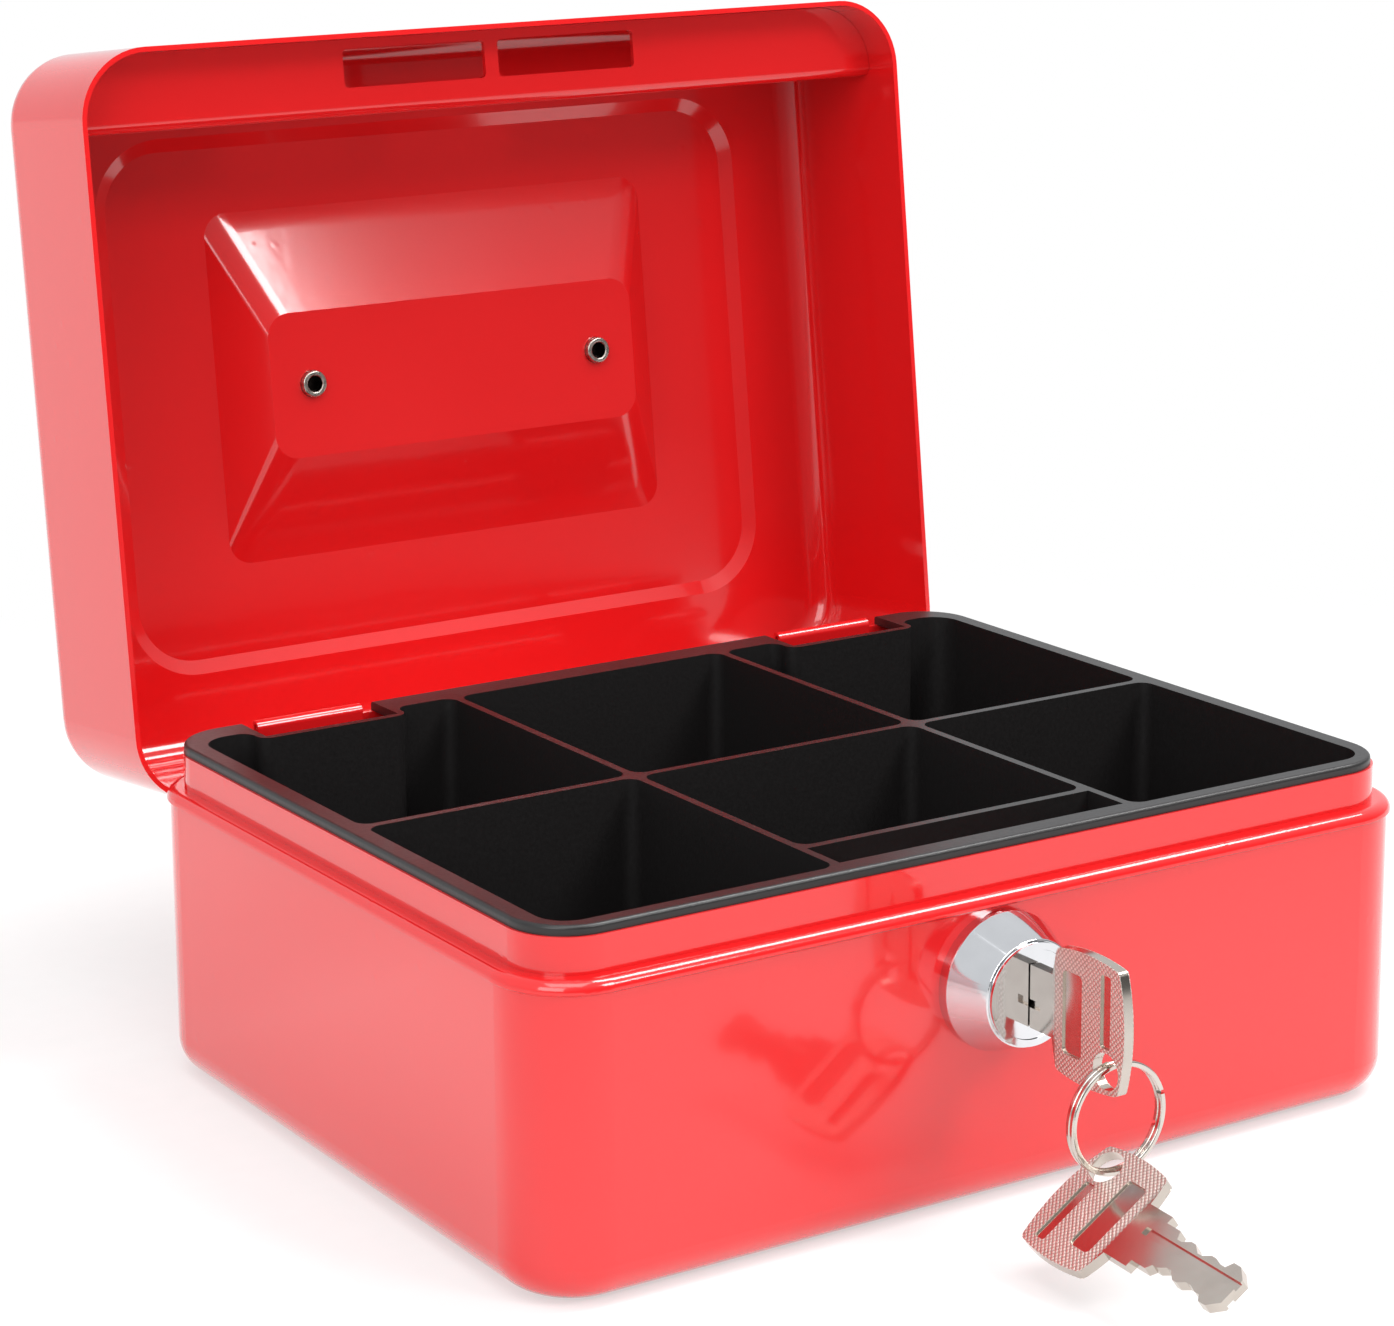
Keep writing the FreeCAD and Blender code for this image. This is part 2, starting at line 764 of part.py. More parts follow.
def hook_cam():
    hub_front = plug_rear
    half = cam_arm_width / 2
    strike_top = strike_z + sheet - lock_height
    hook_inner = math.hypot(strike_top, strike_bridge / 2 + abs(lock_x)) + hook_clearance
    hub = rod(cam_hub_radius, Vec(0, hub_front, 0), Vec(0, hub_front + cam_thickness, 0))
    root = block(0, cam_crank_start, hub_front, hub_front + cam_thickness, -half, half)
    crank_points = [
        (cam_crank_start, hub_front),
        (cam_crank_end, hook_front),
        (cam_crank_end, hook_front + cam_thickness),
        (cam_crank_start, hub_front + cam_thickness),
    ]
    crank = sweep(soft_wire(crank_points, 0, level(-half)), Vec(0, 0, cam_arm_width))
    disc = rod(hook_radius, Vec(0, hook_front, 0), Vec(0, hook_front + cam_thickness, 0))
    arm = block(cam_crank_end, hook_radius, hook_front, hook_front + cam_thickness, -half, half)
    arm = arm.common(disc)
    core = rod(hook_inner, Vec(0, hook_front - 1, 0), Vec(0, hook_front + cam_thickness + 1, 0))
    lead = math.radians(hook_lead)
    reach = hook_radius * 1.5
    wedge_points = [(0, 0), (reach, 0), (reach * math.cos(lead), reach * math.sin(lead))]
    wedge = sweep(soft_wire(wedge_points, 0, facing(hook_front)), Vec(0, cam_thickness, 0))
    hook = disc.cut(core).common(wedge)
    square = cam_square / 2 + cam_square_fit
    hole = block(-square, square, hub_front - 1, hub_front + cam_thickness + 1, -square, square)
    cam = hub.fuse([root, crank, arm, hook]).removeSplitter()
    cam.rotate(Vec(0, 0, 0), Vec(0, -1, 0), hook_rest_angle)
    cam = cam.cut(hole)
    cam.translate(Vec(0, 0, lock_height))
    return cam


def cam_screw():
    seat = plug_rear + cam_thickness
    head = lock_rod(cam_screw_head_radius, seat, cam_screw_rear)
    shank = lock_rod(cam_screw_radius - cam_screw_fit, seat - cam_screw_length, seat)
    slot = block(
        -cam_screw_head_radius,
        cam_screw_head_radius,
        cam_screw_rear - cam_screw_head / 2,
        cam_screw_rear + 1,
        lock_height - cam_screw_head / 2,
        lock_height + cam_screw_head / 2,
    )
    return head.fuse(shank).cut(slot).removeSplitter()


# Keys: one shape drawn flat, blade along X and width along Y, used in the lock and on the ring


def key_blank():
    side = bow_width / 2
    x_in = -bow_bulge_end
    x_out = bow_bulge_end - bow_length
    y = side - bow_bulge_side
    low = -key_thickness / 2

    def at(px, py):
        return Vec(px, py, low)

    bow_edges = [
        Part.Arc(at(x_in, y), at(-bow_length / 2, side), at(x_out, y)).toShape(),
        Part.Arc(at(x_out, y), at(-bow_length, 0), at(x_out, -y)).toShape(),
        Part.Arc(at(x_out, -y), at(-bow_length / 2, -side), at(x_in, -y)).toShape(),
        Part.Arc(at(x_in, -y), at(0, 0), at(x_in, y)).toShape(),
    ]
    bow = rise(Part.Wire(bow_edges), key_thickness)
    corners = [e for e in bow.Edges if abs(e.Vertexes[0].Z - e.Vertexes[-1].Z) > 1e-6]
    bow = bow.makeFillet(bow_corner, corners)
    half_neck = neck_width / 2
    neck = block(-bow_bulge_end, neck_length, -half_neck, half_neck, low, -low)
    half = blade_width / 2
    tip = neck_length + blade_length
    first = neck_length + neck_stand_off + wafer_first + wafer_thickness / 2
    ramp = (wafer_pitch - cut_flat) / 2

    def edge(cuts, sign):
        line = [(neck_length - 1, sign * half), (first - cut_flat / 2 - ramp, sign * half)]
        for i, cut in enumerate(cuts):
            x = first + i * wafer_pitch
            line.append((x - cut_flat / 2, sign * (half - cut)))
            line.append((x + cut_flat / 2, sign * (half - cut)))
        line.append((first + (len(cuts) - 1) * wafer_pitch + cut_flat / 2 + ramp, sign * half))
        line.append((tip - blade_tip, sign * half))
        line.append((tip, sign * blade_tip_width / 2))
        return line

    points = edge(blade_cuts_upper, 1) + edge(blade_cuts_lower, -1)[::-1]
    blade = rise(soft_wire(points, 0, level(low)), key_thickness)
    key = bow.fuse([neck, blade]).removeSplitter()
    cuts = [rod(bow_hole_radius, bow_hole + Vec(0, 0, low - 1), bow_hole + Vec(0, 0, 1 - low))]
    for face in (-1, 1):
        deep = -low - blade_groove_depth
        y0 = face * blade_groove_offset - blade_groove / 2
        z0 = deep if face > 0 else -deep - 1
        cuts.append(block(neck_length / 2, tip + 1, y0, y0 + blade_groove, z0, z0 + 1))
        deep = -low - bow_panel_depth
        z0 = deep if face > 0 else -deep - 1
        inner = (bow_panel_inner_x, bow_panel_inner_width, 0, bow_panel_inner_length)
        outer = (
            bow_panel_outer_x, bow_panel_outer_width, bow_panel_outer_y, bow_panel_outer_length
        )
        for x, width, middle, length in (inner, outer):
            y0 = middle - length / 2
            wire = rounded(-x - width, -x, y0, y0 + length, width / 5, z0)
            cuts.append(rise(wire, 1))
    return key.cut(cuts)


def placed(shape, origin, along, width):
    """Put a flat-drawn key so its blade points along one direction and its width another."""
    x = Vec(along).normalize()
    z = x.cross(width).normalize()
    y = z.cross(x)
    matrix = FreeCAD.Matrix(
        x.x, y.x, z.x, origin.x,
        x.y, y.y, z.y, origin.y,
        x.z, y.z, z.z, origin.z,
        0, 0, 0, 1,
    )
    moved = shape.copy()
    moved.Placement = FreeCAD.Placement(matrix)
    return moved


def key_in_lock():
    return placed(key_blank(), Vec(0, key_y, lock_height), Vec(0, 1, 0), Vec(0, 0, 1))


def ring_centre():
    """The ring stands in the key's hole, propped by the spare key and a little to one side."""
    hole_y = key_y + bow_hole.x
    wire_z = lock_height + bow_hole.y + ring_lift
    drop = math.sqrt(ring_radius ** 2 - ring_side_shift ** 2)
    return Vec(ring_side_shift, hole_y, wire_z - drop)


def key_ring():
    inner = ring_radius - ring_wire / 2
    outer = ring_radius + ring_wire / 2
    lap = ring_overlap / 2
    turns = []
    for y0, y1 in ((lap - ring_turn, lap), (-lap, ring_turn - lap)):
        points = [(inner, y0), (outer, y0), (outer, y1), (inner, y1)]
        wire = soft_wire(points, ring_edge, level(0))
        turns.append(Part.Face(wire).revolve(Vec(0, 0, 0), Vec(0, 1, 0), 360))
    ring = turns[0].fuse(turns[1])
    ends = []
    for y0, y1, z0 in ((-ring_turn, -lap, 2.0), (lap, ring_turn, -2.6)):
        ends.append(block(inner - 1, outer + 1, y0, y1, z0, z0 + ring_split))
    ring = ring.cut(ends)
    ring.translate(ring_centre())
    return ring


def spare_key():
    drop = math.sqrt(ring_radius ** 2 - spare_ring_shift ** 2)
    hole = ring_centre() + Vec(spare_ring_shift, 0, spare_lift - drop)
    along = Vec(spare_blade_axis).normalize()
    side = along.cross(spare_width_axis).normalize().cross(along)
    origin = hole - along * bow_hole.x - side * bow_hole.y
    return placed(key_blank(), origin, along, side)


pieces = {
    "base_shell": base_shell(),
    "hinge_plate_left": hinge_plate(-hinge_middle),
    "hinge_plate_right": hinge_plate(hinge_middle),
    "hinge_pin_left": hinge_pin(-hinge_middle),
    "hinge_pin_right": hinge_pin(hinge_middle),
    "lid_shell": lid_opened(lid_shell()),
    "lid_leaf_left": lid_opened(lid_leaf(-hinge_middle)),
    "lid_leaf_right": lid_opened(lid_leaf(hinge_middle)),
    "lid_strike_channel": lid_opened(lid_strike_channel()),
    "handle_bracket_left": lid_opened(handle_bracket(-bracket_middle)),
    "handle_bracket_right": lid_opened(handle_bracket(bracket_middle)),
    "handle_rivets": lid_opened(handle_rivets()),
    "carry_handle": lid_opened(carry_handle()),
    "coin_tray": coin_tray(),
    "lock_bezel": at_lock(lock_bezel()),
    "lock_barrel": at_lock(lock_barrel()),
    "lock_washer": at_lock(lock_washer()),
    "lock_nut": at_lock(lock_nut()),
    "lock_plug": at_lock(lock_plug()),
    "lock_wafers": at_lock(lock_wafers()),
    "hook_cam": at_lock(hook_cam()),
    "cam_screw": at_lock(cam_screw()),
    "key_in_lock": at_lock(key_in_lock()),
    "key_ring": at_lock(key_ring()),
    "spare_key": at_lock(spare_key()),
}

os.makedirs("parts", exist_ok=True)
for name, shape in pieces.items():
    shape.exportStep("parts/" + name + ".step")
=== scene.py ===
import bpy
import bmesh
import math
from mathutils import Matrix, Vector

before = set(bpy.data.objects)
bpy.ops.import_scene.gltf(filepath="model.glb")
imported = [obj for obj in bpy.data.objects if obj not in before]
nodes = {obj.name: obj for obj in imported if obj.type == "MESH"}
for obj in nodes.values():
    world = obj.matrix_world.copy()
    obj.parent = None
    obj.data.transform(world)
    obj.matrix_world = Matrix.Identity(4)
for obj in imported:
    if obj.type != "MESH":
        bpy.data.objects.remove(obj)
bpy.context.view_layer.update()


# Base shell and its two hinge plates. The pan is drawn from thin mild steel, washed, and
# sprayed with red gloss enamel that is stoved hard, so the film flows round every edge.
# Sizes here and in the sections below are in metres.
enamel_drift_size = 0.06
enamel_peel_size = 0.003
enamel_peel_height = 0.00005
dust_patch_size = 0.045
dust_spacing = 0.0042
dust_height = 0.00008


def linear(code):
    """Turn an sRGB hex colour into the linear values that a shader takes."""
    channels = [int(code[i : i + 2], 16) / 255 for i in (1, 3, 5)]
    curve = [c / 12.92 if c <= 0.04045 else ((c + 0.055) / 1.055) ** 2.4 for c in channels]
    return (*curve, 1.0)


def put(tree, kind, inputs=None, **settings):
    """Add one node, with its settings, and with values or links for its inputs."""
    made = tree.nodes.new(kind)
    for name, value in settings.items():
        setattr(made, name, value)
    for name, value in (inputs or {}).items():
        if isinstance(value, bpy.types.NodeSocket):
            tree.links.new(value, made.inputs[name])
        else:
            made.inputs[name].default_value = value
    return made


def start_material(name):
    """Make a material with an empty node tree, and give both."""
    material = bpy.data.materials.new(name)
    material.use_nodes = True
    tree = material.node_tree
    tree.nodes.clear()
    return material, tree


def finish_nodes(names, material):
    """Give each named piece of the box this one finish."""
    for name in names:
        nodes[name].data.materials.clear()
        nodes[name].data.materials.append(material)


# Stoved enamel: a clear deep red with a hard gloss. The eye sees a faint orange peel about
# 1.5 mm across in the reflections, a slow drift in depth where the coat is thicker, and
# patches of dust nibs under a millimetre wide.
def make_red_enamel():
    material, tree = start_material("red_stoved_enamel")
    place = put(tree, "ShaderNodeTexCoord").outputs["Object"]
    drift = put(
        tree,
        "ShaderNodeTexNoise",
        {"Vector": place, "Scale": 1 / enamel_drift_size, "Detail": 2.0},
    )
    colour = put(
        tree,
        "ShaderNodeMix",
        {"Factor": drift.outputs["Fac"], "A": linear("#CF1417"), "B": linear("#DC1D1F")},
        data_type="RGBA",
    )
    peel = put(
        tree,
        "ShaderNodeTexNoise",
        {"Vector": place, "Scale": 1 / enamel_peel_size, "Detail": 1.0},
    )
    patch = put(
        tree,
        "ShaderNodeTexNoise",
        {"Vector": place, "Scale": 1 / dust_patch_size, "Detail": 0.0},
    )
    dusty = put(
        tree,
        "ShaderNodeMapRange",
        {"Value": patch.outputs["Fac"], "From Min": 0.52, "From Max": 0.66},
    )
    specks = put(
        tree, "ShaderNodeTexVoronoi", {"Vector": place, "Scale": 1 / dust_spacing}
    )
    speck = put(
        tree,
        "ShaderNodeMapRange",
        {"Value": specks.outputs["Distance"], "From Min": 0.2, "From Max": 0.02},
        interpolation_type="SMOOTHSTEP",
    )
    nib = put(
        tree,
        "ShaderNodeMath",
        {0: speck.outputs["Result"], 1: dusty.outputs["Result"]},
        operation="MULTIPLY",
    )
    waves = put(
        tree,
        "ShaderNodeBump",
        {
            "Height": peel.outputs["Fac"],
            "Strength": 0.12,
            "Distance": enamel_peel_height,
        },
    )
    bump = put(
        tree,
        "ShaderNodeBump",
        {
            "Height": nib.outputs["Value"],
            "Strength": 0.3,
            "Distance": dust_height,
            "Normal": waves.outputs["Normal"],
        },
    )
    gloss = put(
        tree,
        "ShaderNodeMapRange",
        {"Value": drift.outputs["Fac"], "To Min": 0.10, "To Max": 0.16},
    )
    shader = put(
        tree,
        "ShaderNodeBsdfPrincipled",
        {
            "Base Color": colour.outputs["Result"],
            "Roughness": gloss.outputs["Result"],
            "Normal": bump.outputs["Normal"],
            "Coat Normal": bump.outputs["Normal"],
            "IOR": 1.52,
            "Coat Weight": 0.7,
            "Coat Roughness": 0.05,
        },
    )
    put(tree, "ShaderNodeOutputMaterial", {"Surface": shader.outputs["BSDF"]})
    return material


red_enamel = make_red_enamel()
finish_nodes(["base_shell", "hinge_plate_left", "hinge_plate_right"], red_enamel)


# Lid: drawn from the same sheet, with a raised field and a sunk handle seat. Its strike
# channel and hinge leaves are spot-welded inside before the enamel goes on.
finish_nodes(
    ["lid_shell", "lid_leaf_left", "lid_leaf_right", "lid_strike_channel"], red_enamel
)


# Hinge pins, lock washer, nut, cam and its screw: small steel parts, cut or stamped, and
# zinc-plated loose in a barrel, where they rub against each other.
zinc_scuff_size = 0.0012


# Barrel zinc plate: a soft grey that is neither bright nor dull. The eye sees fine scuffs,
# about a millimetre long, that are paler and rougher than the plate between them.
def make_zinc_plate():
    material, tree = start_material("zinc_plated_steel")
    place = put(tree, "ShaderNodeTexCoord").outputs["Object"]
    scuff = put(
        tree,
        "ShaderNodeTexNoise",
        {"Vector": place, "Scale": 1 / zinc_scuff_size, "Detail": 4.0, "Roughness": 0.7},
    )
    colour = put(
        tree,
        "ShaderNodeMix",
        {"Factor": scuff.outputs["Fac"], "A": linear("#9C9D9E"), "B": linear("#C4C4C2")},
        data_type="RGBA",
    )
    rough = put(
        tree,
        "ShaderNodeMapRange",
        {"Value": scuff.outputs["Fac"], "To Min": 0.28, "To Max": 0.5},
    )
    shader = put(
        tree,
        "ShaderNodeBsdfPrincipled",
        {
            "Base Color": colour.outputs["Result"],
            "Roughness": rough.outputs["Result"],
            "Metallic": 1.0,
        },
    )
    put(tree, "ShaderNodeOutputMaterial", {"Surface": shader.outputs["BSDF"]})
    return material


finish_nodes(
    [
        "hinge_pin_left",
        "hinge_pin_right",
        "lock_washer",
        "lock_nut",
        "hook_cam",
        "cam_screw",
    ],
    make_zinc_plate(),
)


# Rivets: tubular steel rivets set from inside, so that each tail curls to a bright rim round
# a bore. The bore is painted near black, as painted shade inside the hole. The middle is the
# right rivet's, and the left one is its mirror image.
# The bore radius and its soft edge set where the painted shade inside each rivet's bore
# ends.
painted_bore_shade_radius = 0.0013
painted_bore_shade_edge = 0.00012
rivet_middle = (0.0275, 0.090513, 0.096816)
rivet_axis = (0.0, 0.9938, -0.1115)
rivet_scuff_size = 0.0008


# Set rivet steel: bare steel, burnished by the setting tool. The eye sees a warm bright rim
# with fine tool marks, and inside it a bore painted near black as painted shade in the hole.
def make_rivet_steel_with_painted_bore_shade():
    material, tree = start_material("burnished_rivet_steel_with_painted_bore_shade")
    place = put(tree, "ShaderNodeTexCoord").outputs["Object"]
    mirrored = put(tree, "ShaderNodeVectorMath", {0: place}, operation="ABSOLUTE")
    offset = put(
        tree,
        "ShaderNodeVectorMath",
        {0: mirrored.outputs["Vector"], 1: rivet_middle},
        operation="SUBTRACT",
    )
    across = put(
        tree,
        "ShaderNodeVectorMath",
        {0: offset.outputs["Vector"], 1: rivet_axis},
        operation="CROSS_PRODUCT",
    )
    radius = put(
        tree, "ShaderNodeVectorMath", {0: across.outputs["Vector"]}, operation="LENGTH"
    )
    # Mask: 0 inside the rivet's bore, where the painted shade goes, and 1 on the steel rim.
    outside_painted_bore_shade = put(
        tree,
        "ShaderNodeMapRange",
        {
            "Value": radius.outputs["Value"],
            "From Min": painted_bore_shade_radius,
            "From Max": painted_bore_shade_radius + painted_bore_shade_edge,
        },
    )
    scuff = put(
        tree,
        "ShaderNodeTexNoise",
        {"Vector": place, "Scale": 1 / rivet_scuff_size, "Detail": 3.0},
    )
    steel = put(
        tree,
        "ShaderNodeMix",
        {"Factor": scuff.outputs["Fac"], "A": linear("#A39B92"), "B": linear("#CFC8BF")},
        data_type="RGBA",
    )
    # Inside the bore the colour is #2B2522, painted shade in the hole rather than the
    # steel's own colour.
    colour = put(
        tree,
        "ShaderNodeMix",
        {
            "Factor": outside_painted_bore_shade.outputs["Result"],
            "A": linear("#2B2522"),
            "B": steel.outputs["Result"],
        },
        data_type="RGBA",
    )
    rough = put(
        tree,
        "ShaderNodeMapRange",
        {"Value": scuff.outputs["Fac"], "To Min": 0.2, "To Max": 0.36},
    )
    shader = put(
        tree,
        "ShaderNodeBsdfPrincipled",
        {
            "Base Color": colour.outputs["Result"],
            "Roughness": rough.outputs["Result"],
            "Metallic": 1.0,
        },
    )
    put(tree, "ShaderNodeOutputMaterial", {"Surface": shader.outputs["BSDF"]})
    return material


finish_nodes(["handle_rivets"], make_rivet_steel_with_painted_bore_shade())


# Coin tray: one injection moulding in black ABS that stands loose in the base, with six
# compartments. The mould is spark-eroded, and its fine grain comes out on every wall.
abs_grain_size = 0.0006
abs_grain_height = 0.00008


# Moulded black ABS: a near black with a satin sheen. The eye sees a fine grain, about half
# a millimetre across, that breaks up the reflections along the rim and the dividers.
def make_black_abs():
    material, tree = start_material("moulded_black_abs")
    place = put(tree, "ShaderNodeTexCoord").outputs["Object"]
    grain = put(
        tree,
        "ShaderNodeTexNoise",
        {"Vector": place, "Scale": 1 / abs_grain_size, "Detail": 3.0},
    )
    colour = put(
        tree,
        "ShaderNodeMix",
        {"Factor": grain.outputs["Fac"], "A": linear("#161414"), "B": linear("#1F1D1D")},
        data_type="RGBA",
    )
    bump = put(
        tree,
        "ShaderNodeBump",
        {"Height": grain.outputs["Fac"], "Strength": 0.25, "Distance": abs_grain_height},
    )
    rough = put(
        tree,
        "ShaderNodeMapRange",
        {"Value": grain.outputs["Fac"], "To Min": 0.3, "To Max": 0.42},
    )
    shader = put(
        tree,
        "ShaderNodeBsdfPrincipled",
        {
            "Base Color": colour.outputs["Result"],
            "Roughness": rough.outputs["Result"],
            "Normal": bump.outputs["Normal"],
            "IOR": 1.54,
        },
    )
    put(tree, "ShaderNodeOutputMaterial", {"Surface": shader.outputs["BSDF"]})
    return material


finish_nodes(["coin_tray"], make_black_abs())


# Lock front: the cone, the barrel and the turning plug are zinc die castings, polished and
# plated with bright chrome over copper and nickel. A nut behind the wall holds them.
plate_haze_size = 0.004


def make_bright_plate(name, dark, pale, smoothest, roughest):
    """Make a bright metal whose tint and gloss vary a little in a haze 4 mm across."""
    material, tree = start_material(name)
    place = put(tree, "ShaderNodeTexCoord").outputs["Object"]
    haze = put(
        tree,
        "ShaderNodeTexNoise",
        {"Vector": place, "Scale": 1 / plate_haze_size, "Detail": 3.0},
    )
    colour = put(
        tree,
        "ShaderNodeMix",
        {"Factor": haze.outputs["Fac"], "A": linear(dark), "B": linear(pale)},
        data_type="RGBA",
    )
    rough = put(
        tree,
        "ShaderNodeMapRange",
        {"Value": haze.outputs["Fac"], "To Min": smoothest, "To Max": roughest},
    )
    shader = put(
        tree,
        "ShaderNodeBsdfPrincipled",
        {
            "Base Color": colour.outputs["Result"],
            "Roughness": rough.outputs["Result"],
            "Metallic": 1.0,
        },
    )
    put(tree, "ShaderNodeOutputMaterial", {"Surface": shader.outputs["BSDF"]})
    return material


# Chrome plate: a cold bright mirror, which shows the room nearly sharp, with a faint haze
# left by the polishing wheel.
chrome = make_bright_plate("chrome_on_die_cast_zinc", "#D4D5D8", "#E2E3E6", 0.05, 0.10)
finish_nodes(["lock_bezel", "lock_barrel", "lock_plug"], chrome)


# Lock wafers: five thin plates stamped from brass sheet, one behind the other in the plug.
# They are lifted by the key's cuts.
# Stamped brass: a satin yellow, duller than plate, because it is left as rolled.
brass = make_bright_plate("stamped_brass", "#B58A3C", "#CDA457", 0.2, 0.32)
finish_nodes(["lock_wafers"], brass)


# Carry handle and its two brackets on the lid's outside: a bent steel bail, and two pressed
# steel saddles that the rivets hold.
# Nickel plate: a warm bright metal, a little softer in its reflections than chrome.
nickel = make_bright_plate("nickel_plated_steel", "#C6BEB6", "#DCD6CE", 0.10, 0.18)
finish_nodes(["carry_handle", "handle_bracket_left", "handle_bracket_right"], nickel)


# Split ring: spring steel wire, coiled two turns, with the same nickel plate. It hangs in
# the bow of the key in the lock and carries the spare.
finish_nodes(["key_ring"], nickel)


# Keys: blanks punched from nickel-plated steel. A coining die leaves a stippled border on
# the bow's faces, with two smooth sunk panels in it, and the blade is cut after plating.
# The origin is where the bow meets the blade, and the directions run along and across it.
key_half_thickness = 0.0008
border_depth_start = 0.00012
border_depth_full = 0.00005
border_edge_start = -0.0006
border_edge_full = -0.0012
stipple_pitch = 0.00055
stipple_slant = math.radians(45)
stipple_height = 0.00008
lock_key_origin = Vector((-0.0024, -0.0711, 0.0332))
lock_key_along = Vector((0, 1, 0))
lock_key_side = Vector((0, 0, 1))
spare_hole = Vector((-0.0023, -0.0827, 0.013275))
spare_along = Vector((-0.058, -0.998, -0.017)).normalized()
spare_face = spare_along.cross(Vector((-0.816, 0.058, -0.575))).normalized()
spare_side = spare_face.cross(spare_along)
hole_to_blade = 0.0116
hole_to_middle = 0.0058
spare_origin = spare_hole + hole_to_blade * spare_along + hole_to_middle * spare_side


# Stippled nickel: the dots are 0.55 mm apart and stand a few hundredths proud, so the border
# is rougher than the smooth plate beside it. The dots are also painted paler, as a painted
# sheen of the light that they catch.
def make_stippled_nickel(name, origin, along, side):
    material, tree = start_material(name)
    face = along.cross(side)
    turn = Matrix((along, side, face))
    place = put(
        tree,
        "ShaderNodeMapping",
        {
            "Vector": put(tree, "ShaderNodeTexCoord").outputs["Object"],
            "Location": -(turn @ origin),
            "Rotation": turn.to_euler(),
        },
    ).outputs["Vector"]
    parts = put(tree, "ShaderNodeSeparateXYZ", {"Vector": place}).outputs
    depth = put(tree, "ShaderNodeMath", {0: parts["Z"]}, operation="ABSOLUTE")
    on_face = put(
        tree,
        "ShaderNodeMapRange",
        {
            "Value": depth.outputs["Value"],
            "From Min": key_half_thickness - border_depth_start,
            "From Max": key_half_thickness - border_depth_full,
        },
    )
    on_bow = put(
        tree,
        "ShaderNodeMapRange",
        {"Value": parts["X"], "From Min": border_edge_start, "From Max": border_edge_full},
    )
    border = put(
        tree,
        "ShaderNodeMath",
        {0: on_face.outputs["Result"], 1: on_bow.outputs["Result"]},
        operation="MULTIPLY",
    )
    flat = put(tree, "ShaderNodeCombineXYZ", {"X": parts["X"], "Y": parts["Y"]})
    slanted = put(
        tree,
        "ShaderNodeMapping",
        {"Vector": flat.outputs["Vector"], "Rotation": (0, 0, stipple_slant)},
    )
    cells = put(
        tree,
        "ShaderNodeTexVoronoi",
        {"Vector": slanted.outputs["Vector"], "Scale": 1 / stipple_pitch, "Randomness": 0.1},
    )
    dots = put(
        tree,
        "ShaderNodeMapRange",
        {"Value": cells.outputs["Distance"], "From Min": 0.5, "From Max": 0.22},
    )
    # This mask drives both the real bump of the dots and their painted sheen.
    raised_dots_and_painted_sheen = put(
        tree,
        "ShaderNodeMath",
        {0: dots.outputs["Result"], 1: border.outputs["Value"]},
        operation="MULTIPLY",
    )
    haze = put(
        tree,
        "ShaderNodeTexNoise",
        {"Vector": place, "Scale": 1 / plate_haze_size, "Detail": 3.0},
    )
    plate = put(
        tree,
        "ShaderNodeMix",
        {"Factor": haze.outputs["Fac"], "A": linear("#BDB3AA"), "B": linear("#D2CAC1")},
        data_type="RGBA",
    )
    # The raised dots are painted a near white #EFE9E2. This is a painted sheen on the dot
    # tops over the plate's own tone.
    colour = put(
        tree,
        "ShaderNodeMix",
        {
            "Factor": raised_dots_and_painted_sheen.outputs["Value"],
            "A": plate.outputs["Result"],
            "B": linear("#EFE9E2"),
        },
        data_type="RGBA",
    )
    bump = put(
        tree,
        "ShaderNodeBump",
        {"Height": raised_dots_and_painted_sheen.outputs["Value"], "Strength": 0.7, "Distance": stipple_height},
    )
    rough = put(
        tree,
        "ShaderNodeMapRange",
        {"Value": border.outputs["Value"], "To Min": 0.16, "To Max": 0.48},
    )
    shader = put(
        tree,
        "ShaderNodeBsdfPrincipled",
        {
            "Base Color": colour.outputs["Result"],
            "Roughness": rough.outputs["Result"],
            "Normal": bump.outputs["Normal"],
            "Metallic": 1.0,
        },
    )
    put(tree, "ShaderNodeOutputMaterial", {"Surface": shader.outputs["BSDF"]})
    return material


finish_nodes(
    ["key_in_lock"],
    make_stippled_nickel(
        "stippled_nickel_lock_key", lock_key_origin, lock_key_along, lock_key_side
    ),
)
finish_nodes(
    ["spare_key"],
    make_stippled_nickel("stippled_nickel_spare_key", spare_origin, spare_along, spare_side),
)


# Studio: a wide sheet of white paper on a table, lit softly from above and the front, in a
# pale room. The camera stands where the photograph's did.
paper_half_side = 6.0
paper_fibre_size = 0.004
shadow_reach = 0.10
white_from = 0.34
dim_from = -0.4
dim_to = -1.2


